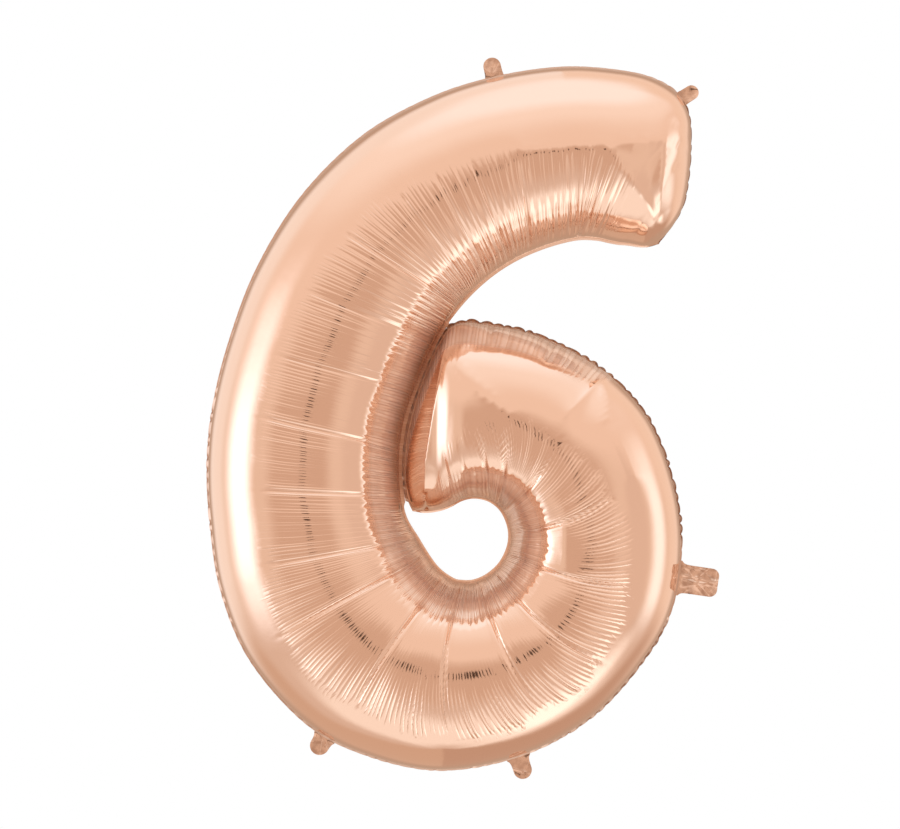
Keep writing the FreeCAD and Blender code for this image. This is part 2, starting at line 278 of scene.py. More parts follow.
def smooth_panel(places, share):
    """Points of the panel before it is gathered: margin, crown, margin; and their normals."""
    rows = along_stroke(places, STATIONS)
    outer, inner = rows[:, :2], rows[:, 2:4]
    width = np.linalg.norm(inner - outer, axis=1)
    across = (inner - outer) / width[:, None]
    middle = (outer + inner) / 2
    margin = np.minimum(SEAM_MARGIN, width / 4)
    half = width / 2 - margin
    side = -np.cos(math.pi * share)
    rise = np.maximum(0, 1 - np.abs(side) ** CROWN_SQUARENESS) ** (1 / CROWN_SQUARENESS)
    off = half[:, None] * side[None, :]
    off[:, 0] = -width / 2
    off[:, 1] = -half - MARGIN_BEND * margin
    off[:, -2] = half + MARGIN_BEND * margin
    off[:, -1] = width / 2
    point = np.empty((len(places), len(share), 3))
    point[..., 0] = middle[:, 0:1] + across[:, 0:1] * off
    point[..., 2] = middle[:, 1:2] + across[:, 1:2] * off
    depth = rows[:, 4:5]
    lift = SEAM_HALF_GAP + MARGIN_LIFT * np.minimum(1, depth * 3)      # less at both flat ends
    point[..., 1] = -FULL_HALF_DEPTH * depth * rise[None, :] - lift
    point[:, (1, -2), 1] = point[:, (2, -3), 1] * MARGIN_RISE
    point[:, (0, -1), 1] = -SEAM_HALF_GAP
    normal = np.cross(np.gradient(point, axis=0), np.gradient(point, axis=1))
    normal /= np.linalg.norm(normal, axis=2, keepdims=True) + 1e-9
    normal[normal[..., 1] > 0] *= -1
    return point, normal


def follow_pleats(point, places, length, share):
    """Where each grid point lies among the deep pleats, which fan out across the crown."""
    outer_end, inner_end, strength = DEEP_PLEATS.T
    number = np.arange(len(outer_end))
    limit_end = at_place(PLEAT_LIMIT, outer_end)
    place = np.empty(point.shape[:2])      # place at the outer end of the pleat line here
    cell = np.empty(point.shape[:2])       # counted in cells between deep pleats
    away = np.empty(point.shape[:2])       # mm to the nearest deep pleat
    depth = np.empty(point.shape[:2])      # strength of that pleat
    for column, t in enumerate(share):
        drift = np.clip((t - limit_end) / (FAN_END - limit_end), *FAN_RANGE)
        here = outer_end + (inner_end - outer_end) * drift
        place[:, column] = np.interp(places, here, outer_end)
        cell[:, column] = np.interp(places, here, number)
        marks = np.interp(here, places, length[:, column])
        gap = np.abs(length[:, column][:, None] - marks[None, :])
        away[:, column] = gap.min(axis=1)
        depth[:, column] = strength[gap.argmin(axis=1)]
    return place, cell, away, depth


# In the next functions t is the share across the crown from the outer seam, place the pleat
# line's place along the stroke, and limit the share where the pleats begin.


def cell_height(t, place, cell, away, depth, limit, rng):
    """Lobes between the deep pleats, and the deep pleats themselves, in mm."""
    inside = band(t, (limit - 0.05, limit + 0.22), (0.86, 0.97)) * band(place, *PLEATED)
    bulge = CELL_BULGE * by_number(cell, 0.75, 1.2, rng)
    height = bulge * (arch(cell % 1, 0.8) - LOBE_MEAN) * inside

    in_bowl = smooth(*BOWL_START, place) * smooth(limit, limit + 0.2, t)
    width = DEEP_WIDTH * (1 - BOWL_SHARPER * in_bowl)
    valley = np.exp(-(away / width) ** 1.2) * (1 + BOWL_DEEPER * in_bowl)
    shoulder = np.exp(-((away - 2.6 * DEEP_WIDTH) / (1.3 * DEEP_WIDTH)) ** 2)
    inside = band(t, (limit - 0.03, limit + 0.05), (0.88, 0.95))
    inside *= 1 - 0.85 * smooth(0.70, 0.80, t)      # the collar hides most of them
    return height - DEEP_DEPTH * depth * (valley - DEEP_SHOULDER * shoulder) * inside


def long_height(t, place, limit, table, rng):
    """Long pleats through the middle of the crown, in mm."""
    count = counted(table, place, 0.3, rng)
    wave = lobes(count, 0.9, 0.4, 1.4, rng)
    start = limit + by_number(count, -0.01, 0.05, rng)
    inside = band(t, (start, start + 0.08), (RING_END - 0.06, RING_END))
    return at_place(LONG_HEIGHT, place) * wave * inside


def pucker_height(t, place, start, table, rng):
    """Coarse puckers where the collar begins, then the dense ring, in mm."""
    count = counted(table, place, 0.3, rng)
    wave = lobes(count, 0.75, 0.5, 1.35, rng)
    start = start + by_number(count, -0.014, 0.014, rng)
    height = wave * band(t, (start, start + 0.035), RING_TURN)
    count = counted(table * (1, RING_DENSITY), place, 0.3, rng)
    wave = lobes(count, 0.8, 0.5, 1.3, rng)
    height += RING_HEIGHT * wave * band(t, RING_TURN, (RING_END - 0.05, RING_END))
    return at_place(TOOTH_HEIGHT, place) * height


def fine_height(t, place, away, depth, start):
    """Height in mm of the fine pleats, which are left to the finish."""
    begun = smooth(start, start + 0.03, t)
    fade = 0.60 + 0.36 * smooth(16, 18, place)
    fine = begun * (1 - fade * smooth(start + 0.10, start + 0.24, t))
    fine *= 1 - smooth(TOOTH_START - 0.03, TOOTH_START + 0.01, t)
    # they run on beside the deep pleats, further from them before the bowl
    beside = np.where(place < 17, 0.45 * np.exp(-(away / 9.0) ** 2),
                      0.22 * np.exp(-(away / 5.0) ** 2))
    fine += beside * begun * (depth > 0.3) * (
        1 - smooth(TOOTH_START + 0.1, TOOTH_START + 0.14, t))
    collar = band(place, *PLEATED) * band(t, (TOOTH_START, RING_START), (RING_END, 0.99))
    return at_place(FINE_HEIGHT, place) * fine + COLLAR_PLEATS * collar


def end_seam(t, place):
    """1 in the puckered band along the outer seam of the closed end, 0 elsewhere.

    The band widens towards the slit.
    """
    width = smooth(27.2, 28.0, place) * (0.20 + 0.05 * smooth(31, 33, place))
    return (1 - smooth(width, width + 0.05, t)) * smooth(27.3, 27.7, place)


def crush_map(t, place, tooth_start):
    """How far the film is crushed: in the collar, and along the seam of the closed end; this also
    places the rim's painted paler colour and the collar's painted shade.
    """
    collar = smooth(tooth_start + 0.01, tooth_start + 0.06, t) * band(place, (6, 11), PLEATED[1])
    collar *= 1 + 0.35 * band(place, (11, 12), (16, 17))       # most beside the slit
    along_end = end_seam(t, place) * (1.5 - 0.4 * smooth(31, 32, place))
    return np.maximum(along_end, collar)


def gather(point, places, share, rng):
    """Height in mm of the gathered foil over the smooth crown, and maps for the finish.

    The maps are the fine pleats' running number and height, and how far the film is crushed.
    """
    steps = np.linalg.norm(np.diff(point, axis=0), axis=2)
    length = np.vstack((np.zeros(len(share)), np.cumsum(steps, axis=0)))
    place, cell, away, depth = follow_pleats(point, places, length, share)
    t = share[None, :]
    bow = CELL_BOW * (arch(cell % 1, 0.8) - 0.5)
    limit = at_place(PLEAT_LIMIT, place) - bow
    height = cell_height(t, place, cell, away, depth, limit, rng)

    tooth_start = TOOTH_START + at_place(COLLAR_LAG, place)
    collar = tooth_start - 0.01 - 0.5 * bow
    height -= at_place(COLLAR_DEPTH, place) * band(t, (collar, collar + COLLAR_STEP), COLLAR_FOOT)

    table = count_table(places, length[:, np.searchsorted(share, LONG_AT)], LONG_PITCH)
    height += long_height(t, place, limit, table, rng)

    inner_of = at_place(DEEP_PLEATS[:, :2], places)
    tooth_length = np.interp(inner_of, places, length[:, np.searchsorted(share, TOOTH_AT)])
    table = count_table(places, tooth_length, TOOTH_PITCH)
    height += pucker_height(t, place, tooth_start - 0.6 * bow, table, rng)

    table = count_table(places, length[:, np.searchsorted(share, FINE_AT)], FINE_PITCH)
    count = counted(table, place, 0.25, rng)
    start = limit + by_number(count, -0.006, 0.012, rng)
    fine = fine_height(t, place, away, depth, start) + END_PLEATS * end_seam(t, place)
    return height, count, fine, crush_map(t, place, tooth_start)


# Creases pressed up (positive) or down (negative) where flat facets meet: ends in mm,
# height in mm, and how far the foil leans up to the crease, in mm.
FACET_CREASES = (
    ((33, -98), (196, -86), 4.0, 16),          # under the bright top of the arm's end
    ((133, -98), (190, -174), 5.0, 15),
    ((196, -86), (190, -174), 4.2, 12),
    ((190, -174), (192, -200), -3.0, 6),
    ((205, -61), (230, -69), -1.6, 3),         # puckers in the arm's end
    ((203, -70), (225, -80), 1.2, 3),
    ((207, -83), (226, -93), -1.0, 3),
    ((212, -113), (222, -119), -1.6, 3),
    ((83, -514), (84, -580), 3.4, 13),         # flat of the cell to the right of the eye
    ((-58, -334), (15, -404), 2.4, 8),         # closed end of the bowl
    ((128, -359), (128, -410), 3.6, 11),
    ((128, -359), (86, -400), 2.2, 9),
    ((128, -410), (158, -476), 2.6, 12),
    ((-58, -334), (-70, -400), 5.0, 9),
    ((-70, -400), (-80, -460), 5.0, 9),
    ((-80, -460), (-83, -505), 4.0, 8),
    ((-58, -334), (-3, -317), -1.3, 4),
    ((-3, -317), (62, -335), -1.3, 4),
    ((62, -335), (117, -358), -1.3, 4),
    ((-3, -317), (-3, -298), -2.4, 4),
    ((66, -336), (72, -315), -2.4, 4),
    ((117, -358), (128, -342), -1.8, 4),
    ((-81, -520), (-82, -498), -4.0, 4),       # notch in the tip of the closed end
)


def creased(point):
    """Height of the facets' creases, in mm, for every grid point."""
    flat = point[..., (0, 2)]
    height = np.zeros(point.shape[:2])
    for start, end, rise, lean in FACET_CREASES:
        start, end = np.array(start, float), np.array(end, float)
        run = end - start
        share = np.clip(((flat - start) @ run) / (run @ run), 0, 1)
        away = np.linalg.norm(flat - start - share[..., None] * run, axis=2)
        near = np.exp(-away / lean)
        if rise > 0:
            height = np.maximum(height, rise * near)
        else:
            height = height + rise * near
    return height


def close_slit(point, places):
    """Bring the two sealed edges beside the slit together, so the web between them is closed."""
    spine = np.flatnonzero((places > SLIT_SPINE[0]) & (places < SLIT_SPINE[1]))
    end = np.flatnonzero(places > SLIT_END)
    moved = point.copy()
    for rows, column, others, other in ((spine, -1, end, 0), (end, 0, spine, -1)):
        near = point[rows, column][:, (0, 2)]
        far = point[others, other][:, (0, 2)]
        gap = np.linalg.norm(near[:, None] - far[None, :], axis=2)
        target = far[gap.argmin(axis=1)]
        share = 0.5 * (1 - smooth(*SLIT_GAP, gap.min(axis=1)))[:, None]
        moved[rows[:, None], column, (0, 2)] = near + (target - near) * share
    return moved


def ruffle_margins(point, places, share, facing):
    """Swing the sealed margins to front and back, and in and out, in uneven ruffles."""
    rng = np.random.default_rng(RUFFLE_SEED)
    edge = np.linalg.norm(np.diff(point[:, 0], axis=0), axis=1)
    table = count_table(places, np.concatenate(([0], np.cumsum(edge))), RUFFLE_PITCH)
    count = counted(table, places, 0.3, rng)
    ruffle = (arch(count % 1, 0.7) - 0.5) * 2 * by_number(count, 0.3, 1.2, rng)
    ruffle *= at_place(RUFFLE_HEIGHT, places)
    outward = point[:, 0] - point[:, 3]
    outward[:, 1] = 0
    outward /= np.linalg.norm(outward, axis=1, keepdims=True) + 1e-9
    fall = 1 - smooth(0.0, 0.04, share)
    fall[1:3] = (0.55, 0.45)       # the margin's own two columns
    point[..., 1] = np.minimum(point[..., 1], -SEAM_HALF_GAP)
    point[..., 1] -= RUFFLE_SWING * ruffle[:, None] * fall[None, :] * facing
    reach = (ruffle * RUFFLE_REACH - RUFFLE_INSET)[:, None] * fall[None, :]
    point += outward[:, None, :] * reach[..., None]


def grid_mesh(name, along, across):
    """A smooth-shaded grid, and the share, from 0 to 1, of each vertex both ways."""
    mesh = bpy.data.meshes.new(name)
    bm = bmesh.new()
    bmesh.ops.create_grid(bm, x_segments=along, y_segments=across, size=1)
    for face in bm.faces:
        face.smooth = True
    bm.to_mesh(mesh)
    bm.free()
    corner = np.empty(len(mesh.vertices) * 3)
    mesh.vertices.foreach_get("co", corner)
    shares = (corner.reshape(-1, 3) + 1) / 2
    return mesh, shares[:, 0], shares[:, 1]


def put_in_scene(name, data):
    """A new object in the scene."""
    obj = bpy.data.objects.new(name, data)
    bpy.context.scene.collection.objects.link(obj)
    return obj


def make_panel(name, facing, seed):
    """One foil panel: a grid over the stroke, with its margin, crown, pleats and facets."""
    rng = np.random.default_rng(seed)
    places = crown_places()
    share = np.concatenate(([0, 0], crown_columns(), [1, 1]))
    point, normal = smooth_panel(places, share)
    height, fine_count, fine, crush = gather(point, places, share, rng)
    crown = band(share, (0.0, 0.05), (0.97, 1.0))
    height = height + creased(point) * crown[None, :] * (point[..., 1] < -SEAM_FREE)
    point = point + normal * height[..., None]
    ruffle_margins(point, places, share, facing)
    point = close_slit(point, places)
    if facing > 0:
        point[..., 1] *= -1

    mesh, along, across = grid_mesh(name, GRID_ALONG, GRID_ACROSS)
    i = np.rint(along * GRID_ALONG).astype(int)
    j = np.rint(across * GRID_ACROSS).astype(int)
    mesh.vertices.foreach_set("co", (point[i, j] * MM).ravel())
    # Dark colour of the sealed margins: the seal's dull film, deepened as painted shade where the
    # margin ruffles.
    sealed = np.zeros(fine.shape)
    ruffled = at_place(RUFFLE_HEIGHT, places) / DULLEST_RUFFLE
    sealed[:, :2] = np.clip(ruffled, FLATTEST_SEAL, 1)[:, None]
    shares = np.broadcast_to(share[None, :], fine.shape)
    for label, values in (("pleat_number", fine_count), ("pleat_height", fine),
                          ("sealed", sealed), ("crushed", crush), ("across", shares)):
        mesh.attributes.new(label, "FLOAT", "POINT").data.foreach_set(
            "value", values[i, j].astype(np.float32))
    if facing > 0:
        mesh.flip_normals()
    mesh.update()
    return put_in_scene(name, mesh)


# ---------------------------------------------------------------- materials


def linear(code):
    """Linear RGBA of an sRGB hex colour."""
    parts = [int(code[k:k + 2], 16) / 255 for k in (1, 3, 5)]
    return [c / 12.92 if c <= 0.04045 else ((c + 0.055) / 1.055) ** 2.4 for c in parts] + [1.0]


def add_node(tree, kind, settings=(), inputs=()):
    """Add a shader node, set its properties, and give its inputs a value or a link."""
    node = tree.nodes.new(kind)
    for key, value in dict(settings).items():
        setattr(node, key, value)
    for key, value in dict(inputs).items():
        if isinstance(value, bpy.types.NodeSocket):
            tree.links.new(value, node.inputs[key])
        else:
            node.inputs[key].default_value = value
    return node


def start_material(name):
    """A new material, its node tree, its shader, and the place on the piece in metres."""
    material = bpy.data.materials.new(name)
    material.use_nodes = True
    tree = material.node_tree
    where = add_node(tree, "ShaderNodeTexCoord").outputs["Object"]
    return material, tree, tree.nodes["Principled BSDF"], where


FACTOR, FIRST, SECOND, MIXED = 0, 6, 7, 2       # inputs and output of a mix of two colours
FOIL_COLOUR = linear("#F6D9C6")
SEAL_DULL_AND_SHADE_COLOUR = linear("#8C6650")   # film dulled by the sealing bar, and in the ruffled margins painted shade as well
RIM_PAINTED_PALER_COLOUR = linear("#F2C9AC")      # crushed film beside the inner seam, painted paler so its folds don't mirror each other into deep orange
VALLEY_PAINTED_SHADE_COLOUR = linear("#C48C66")   # painted shade down in the shut pleats of the collar
VALLEY_SHADE = 0.5      # how much of that colour they take
RIM = (0.86, 0.94)      # shares across the crown between which the rim's painted paler colour sets in
COLLAR_HAZE = 0.03      # added roughness where the film is crushed into the collar
COLLAR_SCATTER = 0.36   # share of the light that it scatters there
WANDER = 0.45           # pleat widths that the line of a fine pleat wanders by
WANDER_ALONG = 0.35     # bends of that wandering for each pleat passed along the stroke
WANDER_OUTWARDS = 5.0   # and from one seam to the other
LOWEST_PLEAT = 0.4      # height of the lowest fine pleat, as a share of the mapped height
PLEAT_SPREAD = 0.9      # how much more the highest one has
HAZE_PATCH = 71.4       # mm across a patch of clearer or hazier film
HAZE_SPREAD = 0.2       # how much clearer and hazier, as a share of the roughness
MOTTLE = 9.09           # mm across a dull spot on the handled tabs
MOTTLE_SHADE = 0.45     # how dull the dullest spots are
CLOUD = 5.56            # mm across a cloud in the milky valve film


def metallised_film(name, roughness, crinkle, crinkle_height):
    """Vacuum-metallised film: it mirrors the room in soft, faintly crinkled reflections.

    Roughness varies in wide patches, and crinkles of a size and height in mm break up the
    edges of the highlights. Gives the material and the nodes that both finishes add to.
    """
    material, tree, shader, where = start_material(name)
    shader.inputs["Metallic"].default_value = 1.0
    patches = add_node(tree, "ShaderNodeTexNoise", {}, {
        "Vector": where, "Scale": 1 / (HAZE_PATCH * MM), "Detail": 3.0})
    haze = add_node(tree, "ShaderNodeMapRange", {}, {
        "Value": patches.outputs["Fac"], "To Min": roughness * (1 - HAZE_SPREAD),
        "To Max": roughness * (1 + HAZE_SPREAD)})
    crinkles = add_node(tree, "ShaderNodeTexNoise", {}, {
        "Vector": where, "Scale": 1 / (crinkle * MM), "Detail": 2.0})
    height = add_node(tree, "ShaderNodeMath", {"operation": "MULTIPLY"}, {
        0: crinkles.outputs["Fac"], 1: crinkle_height})
    bump = add_node(tree, "ShaderNodeBump", {}, {
        "Height": height.outputs[0], "Strength": 1.0, "Distance": MM})
    tree.links.new(haze.outputs["Result"], shader.inputs["Roughness"])
    tree.links.new(bump.outputs["Normal"], shader.inputs["Normal"])
    return material, tree, shader, where, haze, height, bump


def panel_film():
    """The panels' film. Fine pleats fan out where it is gathered, and the seal is dull, with
    painted shade where it ruffles.

    Crushed into the collar it looks hazier, scatters some light and is painted paler, so it
    doesn't mirror itself into deep orange; the shut pleats there are darkened with painted shade
    into streaks.
    """
    material, tree, shader, _, haze, crinkles, bump = metallised_film(
        "rose_gold_metallised_film", 0.085, 16.67, 0.10)
    number, high, sealed, crushed, across = (
        add_node(tree, "ShaderNodeAttribute", {"attribute_name": name}).outputs["Fac"]
        for name in ("pleat_number", "pleat_height", "sealed", "crushed", "across"))

    hazy = add_node(tree, "ShaderNodeMath", {"operation": "MULTIPLY_ADD"}, {
        0: crushed, 1: COLLAR_HAZE, 2: haze.outputs["Result"]})
    tree.links.new(hazy.outputs[0], shader.inputs["Roughness"])
    mirrored = add_node(tree, "ShaderNodeMath", {"operation": "MULTIPLY_ADD"}, {
        0: crushed, 1: -COLLAR_SCATTER, 2: 1.0})
    tree.links.new(mirrored.outputs[0], shader.inputs["Metallic"])

    # each fine pleat is a rounded lobe of its own height, and its line wanders a little
    along = add_node(tree, "ShaderNodeMath", {"operation": "MULTIPLY"}, {
        0: number, 1: WANDER_ALONG})
    outwards = add_node(tree, "ShaderNodeMath", {"operation": "MULTIPLY"}, {
        0: across, 1: WANDER_OUTWARDS})
    spot = add_node(tree, "ShaderNodeCombineXYZ", {}, {
        "X": along.outputs[0], "Y": outwards.outputs[0]})
    drift = add_node(tree, "ShaderNodeTexNoise", {"noise_dimensions": "2D"}, {
        "Vector": spot.outputs["Vector"], "Scale": 1.0, "Detail": 1.0})
    number = add_node(tree, "ShaderNodeMath", {"operation": "MULTIPLY_ADD"}, {
        0: drift.outputs["Fac"], 1: WANDER, 2: number}).outputs[0]
    within = add_node(tree, "ShaderNodeMath", {"operation": "FRACT"}, {0: number})
    angle = add_node(tree, "ShaderNodeMath", {"operation": "MULTIPLY"}, {
        0: within.outputs[0], 1: math.pi})
    sine = add_node(tree, "ShaderNodeMath", {"operation": "SINE"}, {0: angle.outputs[0]})
    sine = add_node(tree, "ShaderNodeMath", {"operation": "MAXIMUM"}, {0: sine.outputs[0], 1: 0.0})
    lobe = add_node(tree, "ShaderNodeMath", {"operation": "POWER"}, {0: sine.outputs[0], 1: 0.8})
    whole = add_node(tree, "ShaderNodeMath", {"operation": "FLOOR"}, {0: number})
    chance = add_node(tree, "ShaderNodeTexWhiteNoise", {"noise_dimensions": "1D"}, {
        "W": whole.outputs[0]})
    size = add_node(tree, "ShaderNodeMath", {"operation": "MULTIPLY_ADD"}, {
        0: chance.outputs["Value"], 1: PLEAT_SPREAD, 2: LOWEST_PLEAT})
    pleat = add_node(tree, "ShaderNodeMath", {"operation": "MULTIPLY"}, {
        0: lobe.outputs[0], 1: size.outputs[0]})
    height = add_node(tree, "ShaderNodeMath", {"operation": "MULTIPLY_ADD"}, {
        0: pleat.outputs[0], 1: high, 2: crinkles.outputs[0]})
    tree.links.new(height.outputs[0], bump.inputs["Height"])

    # painted light: the crushed rim beside the inner seam is painted paler, standing in for its
    # softer reflections
    rim = add_node(tree, "ShaderNodeMapRange", {}, {
        "Value": across, "From Min": RIM[0], "From Max": RIM[1]})
    rim = add_node(tree, "ShaderNodeMath", {"operation": "MULTIPLY"}, {
        0: rim.outputs["Result"], 1: crushed})
    film = add_node(tree, "ShaderNodeMix", {"data_type": "RGBA"}, {
        FACTOR: rim.outputs[0], FIRST: FOIL_COLOUR, SECOND: RIM_PAINTED_PALER_COLOUR})
    # the seal's dull colour, deepened as painted shade where the margin ruffles
    film = add_node(tree, "ShaderNodeMix", {"data_type": "RGBA"}, {
        FACTOR: sealed, FIRST: film.outputs[MIXED], SECOND: SEAL_DULL_AND_SHADE_COLOUR})
    # painted shade: the collar's shut pleats are darkened towards the valley colour, as streaks
    shut = add_node(tree, "ShaderNodeMath", {"operation": "SUBTRACT"}, {
        0: 1.0, 1: pleat.outputs[0]})
    most = add_node(tree, "ShaderNodeMath", {"operation": "MINIMUM"}, {0: crushed, 1: 1.0})
    shut = add_node(tree, "ShaderNodeMath", {"operation": "MULTIPLY"}, {
        0: shut.outputs[0], 1: most.outputs[0]})
    shut = add_node(tree, "ShaderNodeMath", {"operation": "MULTIPLY"}, {
        0: shut.outputs[0], 1: VALLEY_SHADE})
    film = add_node(tree, "ShaderNodeMix", {"data_type": "RGBA"}, {
        FACTOR: shut.outputs[0], FIRST: film.outputs[MIXED], SECOND: VALLEY_PAINTED_SHADE_COLOUR})
    tree.links.new(film.outputs[MIXED], shader.inputs["Base Color"])
    return material


def handled_film():
    """The tabs' and the tail's film: sealed flat and then handled, so dull spots mottle it."""
    material, tree, shader, where, _, _, _ = metallised_film(
        "rose_gold_film_crumpled", 0.12, 6.67, 0.25)
    spots = add_node(tree, "ShaderNodeTexNoise", {}, {
        "Vector": where, "Scale": 1 / (MOTTLE * MM), "Detail": 3.0})
    spots = add_node(tree, "ShaderNodeMapRange", {}, {
        "Value": spots.outputs["Fac"], "From Min": 0.40, "From Max": 0.66, "To Max": MOTTLE_SHADE})
    film = add_node(tree, "ShaderNodeMix", {"data_type": "RGBA"}, {
        FACTOR: spots.outputs["Result"], FIRST: FOIL_COLOUR, SECOND: SEAL_DULL_AND_SHADE_COLOUR})
    tree.links.new(film.outputs[MIXED], shader.inputs["Base Color"])
    return material


def valve_film():
    """Blown polyethylene film of the self-sealing valve: milky, soft and half see-through."""
    material, tree, shader, where = start_material("milky_valve_film")
    shader.inputs["Transmission Weight"].default_value = 0.6
    shader.inputs["Roughness"].default_value = 0.35
    cloud = add_node(tree, "ShaderNodeTexNoise", {}, {
        "Vector": where, "Scale": 1 / (CLOUD * MM), "Detail": 3.0})
    milk = add_node(tree, "ShaderNodeMix", {"data_type": "RGBA"}, {
        FACTOR: cloud.outputs["Fac"], FIRST: linear("#E9E6DF"), SECOND: linear("#F6F4EF")})
    tree.links.new(milk.outputs[MIXED], shader.inputs["Base Color"])
    bump = add_node(tree, "ShaderNodeBump", {}, {
        "Height": cloud.outputs["Fac"], "Strength": 0.3, "Distance": 0.2 * MM})
    tree.links.new(bump.outputs["Normal"], shader.inputs["Normal"])
    return material


panel_foil = panel_film()
tongue_foil = handled_film()
milky_film = valve_film()

# ---------------------------------------------------------------- build

for side, facing, seed in (("front", -1, 11), ("back", 1, 12)):
    piece = make_panel(f"{side}_foil", facing, seed)
    piece.data.materials.append(panel_foil)
    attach(piece, "balloon")
    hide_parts(f"{side}_foil_panel")

# Tabs and tail: body, middle of the root as x and z, direction outwards, width, reach, extra
# width at the root, corner radius, and number of folds crushed into the foil. All in mm.
TONGUES = (
    ("top_tab", (-0.439, 0.927), (-0.22346, 0.97471), 21, 22, 1.5, 10.5, 4),
    ("corner_tab", (224.507, -25.680), (0.84578, 0.53354), 17.5, 21, 1.0, 8.7, 3),
    ("left_tab", (-203.576, -789.598), (-0.51514, -0.85711), 23, 22, 5.0, 11.5, 9),
    ("bottom_tab", (28.718, -813.427), (0.31265, -0.94987), 22, 26, 7.0, 11, 6),
    ("tail", (221.406, -598.963), (0.98916, -0.14683), 34, 46, 8.0, 9, 22),
)
TONGUE_ROOT = 4.5       # mm that a tongue runs in between the panels' margins
TONGUE_GRID = 56
CROSSWISE = 0.35        # share of the folds that run across a tongue, not out along it
FLARE_REACH = 2.5       # mm over which the widened root narrows again
PLY_GAP = 0.18          # mm from the tongue's middle to each ply of foil
FILM_GAP = 0.06         # mm from it to each film of the valve
FILM_SIZE = (24, 36, 0, 0.5)    # the valve film's width, reach, flare and corner radius


def crushed(x, way, width, reach, folds):
    """Lift of the crushed foil, in mm, at places across and along a tongue."""
    rng = np.random.default_rng(int(width * 10))
    lift = np.zeros(len(x))
    for _ in range(folds):
        angle = rng.uniform(-0.9, 0.9) + (math.pi / 2 if rng.random() < CROSSWISE else 0)
        centre = np.array((rng.uniform(-0.5, 0.5) * width, rng.uniform(0.0, 0.95) * reach))
        away = np.abs((x - centre[0]) * math.cos(angle) + (way - centre[1]) * math.sin(angle))
        lift += rng.uniform(-0.8, 1.1) * np.exp(-away / rng.uniform(1.2, 4.5))
    lift += 0.5 * np.sin(x / width * 3.0 + rng.uniform(0, 6)) * way / reach
    return lift * smooth(-1.0, 5.0, way)


def make_tongue(name, tongue, size, gap):
    """One ply of a tab or of the tail, or a valve film: a flat tongue crushed by handling."""
    body, root, out, width, reach, _, _, folds = tongue
    wide, far, flare, corner = size
    root, out = np.array(root), np.array(out)
    along = np.array((-out[1], out[0]))
    mesh, side, way = grid_mesh(name, TONGUE_GRID, TONGUE_GRID)
    way = -TONGUE_ROOT + (far + TONGUE_ROOT) * np.sin(way * math.pi / 2)
    half = wide / 2 + flare / 2 * np.exp(-np.maximum(way, 0) / FLARE_REACH)
    past = np.clip((way - (far - corner)) / corner, 0, 1)
    x = (2 * side - 1) * (half - corner + corner * np.sqrt(np.maximum(1 - past ** 2, 0)))
    lift = crushed(x, way, width, reach, folds) + gap
    flat = root + x[:, None] * along + way[:, None] * out
    point = np.column_stack((flat[:, 0], lift, flat[:, 1]))
    mesh.vertices.foreach_set("co", (point * MM).ravel())
    mesh.update()
    obj = put_in_scene(name, mesh)
    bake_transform(obj)
    return obj


for tongue in TONGUES:
    body, width, reach, flare = tongue[0], *tongue[3:6]
    for side, facing in (("front", -1), ("back", 1)):
        piece = make_tongue(f"{body}_{side}_foil", tongue, tongue[3:7], PLY_GAP * facing)
        piece.data.materials.append(tongue_foil)
        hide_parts(f"{body}_{side}_ply")
for side, facing in (("front", -1), ("back", 1)):
    piece = make_tongue(f"valve_{side}_strip", TONGUES[-1], FILM_SIZE, FILM_GAP * facing)
    piece.data.materials.append(milky_film)
    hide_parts(f"valve_{side}_film")
    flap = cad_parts[f"valve_{side}_flap"]
    flap.data.materials.clear()
    flap.data.materials.append(milky_film)

# ---------------------------------------------------------------- floor, light and camera

world = bpy.data.worlds.new("studio")
bpy.context.scene.world = world
world.use_nodes = True
tree = world.node_tree
tree.nodes.clear()
toward = add_node(tree, "ShaderNodeTexCoord").outputs["Generated"]
split = add_node(tree, "ShaderNodeSeparateXYZ", {}, {"Vector": toward})
# degrees to the right of the camera's side, and degrees above the horizon
ahead = add_node(tree, "ShaderNodeMath", {"operation": "MULTIPLY"}, {
    0: split.outputs["Y"], 1: -1.0})
turn = add_node(tree, "ShaderNodeMath", {"operation": "ARCTAN2"}, {
    0: split.outputs["X"], 1: ahead.outputs[0]})
azimuth = add_node(tree, "ShaderNodeMath", {"operation": "MULTIPLY"}, {
    0: turn.outputs[0], 1: 180 / math.pi}).outputs[0]
tilt = add_node(tree, "ShaderNodeMath", {"operation": "ARCSINE"}, {0: split.outputs["Z"]})
height = add_node(tree, "ShaderNodeMath", {"operation": "MULTIPLY"}, {
    0: tilt.outputs[0], 1: 180 / math.pi}).outputs[0]

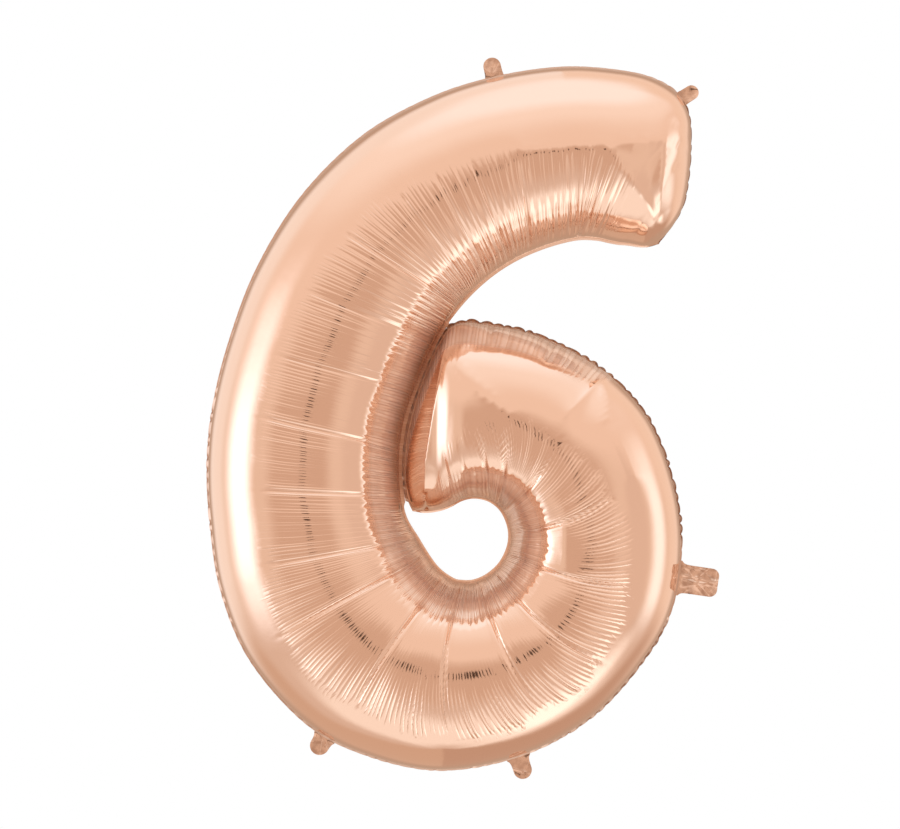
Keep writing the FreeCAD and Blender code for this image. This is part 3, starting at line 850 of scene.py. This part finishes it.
# Soft-edged patches of light, each laid over those before it: linear colour, then its left,
# right, lower and upper edge, as degrees from where there is none of it to where it is full.
AROUND = ((-500, -400), (500, 400))
BEHIND_LEFT = ((-200, -190), (-92, -118))
BEHIND_RIGHT = ((100, 125), (200, 190))
WALLS = (0.88, 0.68, 0.56, 1)
PATCHES = (
    ((0.96, 0.75, 0.63), *AROUND, (6, 18), None),                       # upper walls
    ((1.06, 0.92, 0.84), *AROUND, (26, 52), None),
    ((1.13, 1.12, 1.13), *AROUND, (52, 72), None),                      # ceiling
    ((0.78, 0.60, 0.50), *AROUND, None, (-14, -30)),                    # lower walls
    ((1.08, 0.96, 0.88), (-90, -60), (118, 92), (-89, -78), (-34, -52)),    # lit floor, front
    ((1.5, 1.45, 1.4), (20, 60), (100, 78), (-80, -62), (-28, -46)),        # and on the right
    ((1.04, 0.94, 0.88), *BEHIND_LEFT, (-40, -15), (80, 50)),           # walls behind
    ((0.98, 0.78, 0.65), *BEHIND_RIGHT, (-40, -15), (80, 50)),
    ((0.70, 0.49, 0.37), *BEHIND_LEFT, None, (-12, -38)),               # floor behind
    ((0.60, 0.40, 0.30), *BEHIND_RIGHT, None, (-12, -38)),
    ((0.56, 0.39, 0.29), (-200, -190), (-138, -158), (-45, -30), (45, 30)),     # far wall
    ((0.56, 0.39, 0.29), (138, 158), (200, 190), (-45, -30), (45, 30)),
    ((0.715, 0.50, 0.385), (-44, -26), (32, 17), (-36, -20), (17, 4)),  # unlit front wall
    ((0.82, 0.62, 0.51), (36, 48), (76, 64), (-40, -25), (25, 10)),
    ((1.75, 1.80, 1.90), (-108, -80), (-50, -70), (-36, -6), (34, 3)),  # soft box, left
    ((1.30, 1.27, 1.25), (70, 88), (112, 94), (-38, -14), (34, 8)),     # soft box, right
    ((0.05, 0.025, 0.015), (-3.1, -2.3), (3.1, 2.3), (-3.1, -2.3), (3.1, 2.3)),     # lens hood
)
sky = WALLS
for colour, left, right, low, top in PATCHES:
    share = 1.0
    for angle, edge in ((azimuth, left), (azimuth, right), (height, low), (height, top)):
        if edge:
            step = add_node(tree, "ShaderNodeMapRange", {"interpolation_type": "SMOOTHSTEP"}, {
                "Value": angle, "From Min": min(edge), "From Max": max(edge),
                "To Min": float(edge[0] > edge[1]), "To Max": float(edge[0] < edge[1])})
            share = add_node(tree, "ShaderNodeMath", {"operation": "MULTIPLY"}, {
                0: share, 1: step.outputs["Result"]}).outputs[0]
    sky = add_node(tree, "ShaderNodeMix", {"data_type": "RGBA"}, {
        FACTOR: share, FIRST: sky, SECOND: (*colour, 1)}).outputs[MIXED]

# The room shows only in the foil: behind the balloon, and as light on the floor, it is white.
path = add_node(tree, "ShaderNodeLightPath")
plain = add_node(tree, "ShaderNodeMath", {"operation": "MAXIMUM"}, {
    0: path.outputs["Is Camera Ray"], 1: path.outputs["Is Diffuse Ray"]})
seen = add_node(tree, "ShaderNodeMix", {"data_type": "RGBA"}, {
    FACTOR: plain.outputs[0], FIRST: sky, SECOND: (1, 1, 1, 1)})
background = add_node(tree, "ShaderNodeBackground", {}, {
    "Color": seen.outputs[MIXED], "Strength": 1.0})
add_node(tree, "ShaderNodeOutputWorld", {}, {"Surface": background.outputs["Background"]})

FLOOR_RADIUS = 2.4      # m
FLOOR_HEIGHT = -1.7     # m, well below the balloon, which hangs in the air
mesh = bpy.data.meshes.new("floor")
bm = bmesh.new()
bmesh.ops.create_circle(bm, cap_ends=True, segments=96, radius=FLOOR_RADIUS)
bmesh.ops.translate(bm, vec=(0, 0, FLOOR_HEIGHT), verts=bm.verts)
bm.to_mesh(mesh)
bm.free()
floor = put_in_scene("floor", mesh)
floor_paint, _, shader, _ = start_material("pale_matt_floor")
shader.inputs["Base Color"].default_value = linear("#E9E2DC")
shader.inputs["Roughness"].default_value = 0.8
mesh.materials.append(floor_paint)
floor.visible_glossy = False

lamp_data = bpy.data.lights.new("soft_area_light", "AREA")
lamp_data.shape = "DISK"
lamp_data.size = 1.6
lamp_data.energy = 20
lamp = put_in_scene("soft_area_light", lamp_data)
lamp.location = (-0.4, -0.8, 2.6)       # above, in front and a little to the left
lamp.visible_glossy = False

CAMERA_DISTANCE = 4.0       # m
VIEW_WIDTH = 1.0746         # m across the view at the seam
VIEW_MIDDLE = (-0.0533, -0.4035)        # m, x and z
SENSOR_WIDTH = 36           # mm
camera_data = bpy.data.cameras.new("camera")
camera = put_in_scene("camera", camera_data)
camera_data.sensor_width = SENSOR_WIDTH
camera_data.lens = SENSOR_WIDTH * CAMERA_DISTANCE / VIEW_WIDTH
camera.location = (VIEW_MIDDLE[0], -CAMERA_DISTANCE, VIEW_MIDDLE[1])
camera.rotation_euler = (math.radians(90), 0, 0)
bpy.context.scene.camera = camera
bpy.context.scene.view_settings.view_transform = "Standard"
